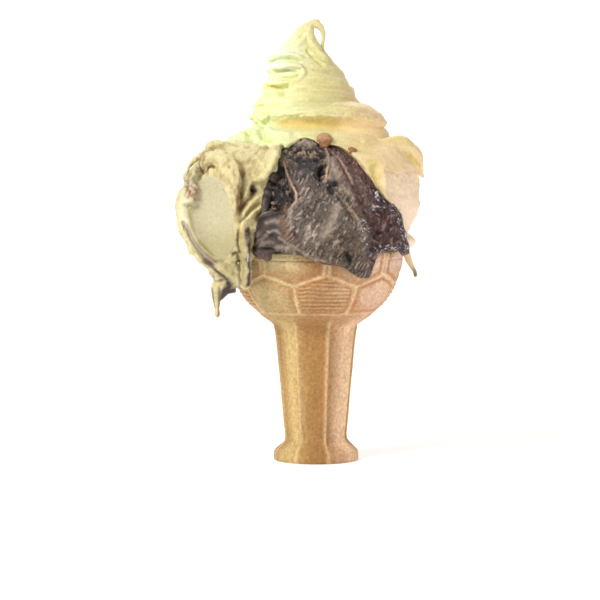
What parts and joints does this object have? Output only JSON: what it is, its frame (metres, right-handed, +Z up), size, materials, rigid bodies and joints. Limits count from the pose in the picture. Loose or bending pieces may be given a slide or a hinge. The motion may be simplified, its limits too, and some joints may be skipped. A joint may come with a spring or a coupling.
{
  "type": "gelato cup",
  "caption": "Gelato in cream, pistachio and chocolate flavours spread high over a football-pattern wafer cup on a faceted stem.",
  "frame": {"origin": "centre of the underside of the wafer cup's foot", "axes": "+Z up along the cup's axis to the swirl's tip; the front with the chocolate faces -Y; the pistachio is on the -X side"},
  "size_m": [0.0997, 0.0845, 0.1757],
  "materials": {
    "wafer": "dry baked wafer, fine grain",
    "cream_gelato": "soft satin, pale cream",
    "pistachio_gelato": "soft satin with thin dark streaks",
    "chocolate_gelato": "dark, moist and rough-scraped"
  },
  "bodies": {
    "root": {"cup": "wafer", "cream": "cream_gelato", "pistachio": "pistachio_gelato", "chocolate": "chocolate_gelato"}
  },
  "joints": []
}
